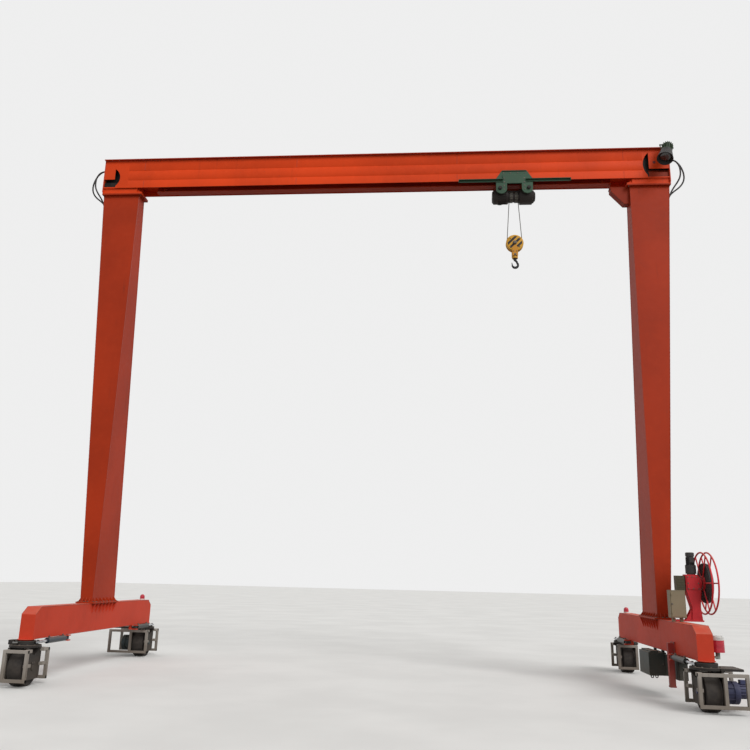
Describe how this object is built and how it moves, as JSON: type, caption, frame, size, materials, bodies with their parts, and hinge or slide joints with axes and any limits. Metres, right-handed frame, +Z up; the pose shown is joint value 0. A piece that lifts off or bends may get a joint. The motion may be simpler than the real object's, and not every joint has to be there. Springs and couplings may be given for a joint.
{
  "type": "rubber-tyred gantry crane",
  "caption": "Single-girder gantry crane on solid rubber tyres: box girder on two tapered legs, steered wheel units, cable reel, and an underslung rope hoist with hook block.",
  "frame": {"origin": "on the floor, at the middle of the crane's outline", "axes": "+X along the girder towards the rigid leg with the cable reel, +Y away from the viewer across the girder, +Z up"},
  "size_m": [11.12, 5.3, 9.7882],
  "materials": {
    "red_paint": "satin orange-red paint",
    "crimson_paint": "satin crimson paint",
    "dark_green_paint": "dark green paint",
    "grey_paint": "grey paint",
    "green_paint": "green paint",
    "black_paint": "black paint",
    "pale_paint": "pale grey paint",
    "blue_paint": "blue paint",
    "tyre_rubber": "solid rubber",
    "cyan_paint": "cyan paint",
    "chromed_rod": "polished",
    "rope_steel": "steel rope",
    "yellow_paint": "yellow paint",
    "forged_hook": "dark forged steel"
  },
  "bodies": {
    "frame": {"girder_box": "red_paint", "girder_top_plate": "red_paint", "runway_beam": "red_paint", "leg_left": "red_paint", "leg_right": "red_paint", "knee_bracket": "red_paint", "carriage_left": "red_paint", "carriage_right": "red_paint", "safety_foot": "crimson_paint", "control_cabinet": "dark_green_paint", "cabinet_near": "dark_green_paint", "switch_box": "grey_paint", "slip_ring_box": "grey_paint", "reel_stand": "crimson_paint", "reel_motor": "grey_paint", "beacon_left": "crimson_paint", "beacon_right": "crimson_paint", "beacon_near": "crimson_paint", "floodlight": "green_paint", "cylinder_ln": "cyan_paint", "cylinder_lf": "cyan_paint", "cylinder_rn": "cyan_paint", "cylinder_rf": "cyan_paint"},
    "head_ln": {"wheel_head_ln": "black_paint", "bumper_ln": "pale_paint"},
    "tyred_wheel_ln": {"wheel_ln": "tyre_rubber"},
    "steer_rod_ln": {"rod_ln": "chromed_rod"},
    "head_lf": {"wheel_head_lf": "black_paint", "bumper_lf": "pale_paint", "drive_lf": "blue_paint"},
    "tyred_wheel_lf": {"wheel_lf": "tyre_rubber"},
    "steer_rod_lf": {"rod_lf": "chromed_rod"},
    "head_rn": {"wheel_head_rn": "black_paint", "bumper_rn": "pale_paint", "drive_rn": "blue_paint"},
    "tyred_wheel_rn": {"wheel_rn": "tyre_rubber"},
    "steer_rod_rn": {"rod_rn": "chromed_rod"},
    "head_rf": {"wheel_head_rf": "black_paint", "bumper_rf": "pale_paint"},
    "tyred_wheel_rf": {"wheel_rf": "tyre_rubber"},
    "steer_rod_rf": {"rod_rf": "chromed_rod"},
    "reel_drum": {"reel": "crimson_paint"},
    "trolley": {"trolley_front": "green_paint", "trolley_back": "green_paint", "hoist_body": "black_paint", "hoist_ropes": "rope_steel"},
    "block": {"hook_block": "yellow_paint"},
    "load_hook": {"hook": "forged_hook"}
  },
  "joints": [
    {"name": "steer_ln", "type": "hinge", "parent": "frame", "child": "head_ln", "pos_m": [-4.8, -2.33, 0.55], "axis": [0, 0, 1], "range_deg": [-12, 12]},
    {"name": "roll_ln", "type": "hinge", "parent": "head_ln", "child": "tyred_wheel_ln", "pos_m": [-4.8, -2.33, 0.25], "axis": [1, 0, 0], "continuous": true},
    {"name": "rod_slide_ln", "type": "slide", "parent": "frame", "child": "steer_rod_ln", "axis": [0, 1, 0], "range_m": [-0.04, 0.04]},
    {"name": "steer_lf", "type": "hinge", "parent": "frame", "child": "head_lf", "pos_m": [-4.8, 2.33, 0.55], "axis": [0, 0, 1], "range_deg": [-12, 12]},
    {"name": "roll_lf", "type": "hinge", "parent": "head_lf", "child": "tyred_wheel_lf", "pos_m": [-4.8, 2.33, 0.25], "axis": [1, 0, 0], "continuous": true},
    {"name": "rod_slide_lf", "type": "slide", "parent": "frame", "child": "steer_rod_lf", "axis": [0, 1, 0], "range_m": [-0.04, 0.04]},
    {"name": "steer_rn", "type": "hinge", "parent": "frame", "child": "head_rn", "pos_m": [4.8, -2.33, 0.55], "axis": [0, 0, 1], "range_deg": [-12, 12]},
    {"name": "roll_rn", "type": "hinge", "parent": "head_rn", "child": "tyred_wheel_rn", "pos_m": [4.8, -2.33, 0.25], "axis": [1, 0, 0], "continuous": true},
    {"name": "rod_slide_rn", "type": "slide", "parent": "frame", "child": "steer_rod_rn", "axis": [0, 1, 0], "range_m": [-0.04, 0.04]},
    {"name": "steer_rf", "type": "hinge", "parent": "frame", "child": "head_rf", "pos_m": [4.8, 2.33, 0.55], "axis": [0, 0, 1], "range_deg": [-12, 12]},
    {"name": "roll_rf", "type": "hinge", "parent": "head_rf", "child": "tyred_wheel_rf", "pos_m": [4.8, 2.33, 0.25], "axis": [1, 0, 0], "continuous": true},
    {"name": "rod_slide_rf", "type": "slide", "parent": "frame", "child": "steer_rod_rf", "axis": [0, 1, 0], "range_m": [-0.04, 0.04]},
    {"name": "reel_turn", "type": "hinge", "parent": "frame", "child": "reel_drum", "pos_m": [5.33, -0.93, 1.665], "axis": [1, 0, 0], "continuous": true},
    {"name": "trolley_travel", "type": "slide", "parent": "frame", "child": "trolley", "axis": [1, 0, 0], "range_m": [-6.56, 1.3]},
    {"name": "hoist", "type": "slide", "parent": "trolley", "child": "block", "axis": [0, 0, 1], "range_m": [-6.9, 0.42], "deforming": ["hoist_ropes"]},
    {"name": "hook_swivel", "type": "hinge", "parent": "block", "child": "load_hook", "pos_m": [2.63, 0, 7.5], "axis": [0, 0, 1], "continuous": true}
  ],
  "couplings": [
    {"joint": "rod_slide_ln", "follows": "steer_ln", "m_per_rad": 0.18},
    {"joint": "rod_slide_lf", "follows": "steer_lf", "m_per_rad": 0.18},
    {"joint": "rod_slide_rn", "follows": "steer_rn", "m_per_rad": -0.18},
    {"joint": "rod_slide_rf", "follows": "steer_rf", "m_per_rad": -0.18}
  ]
}
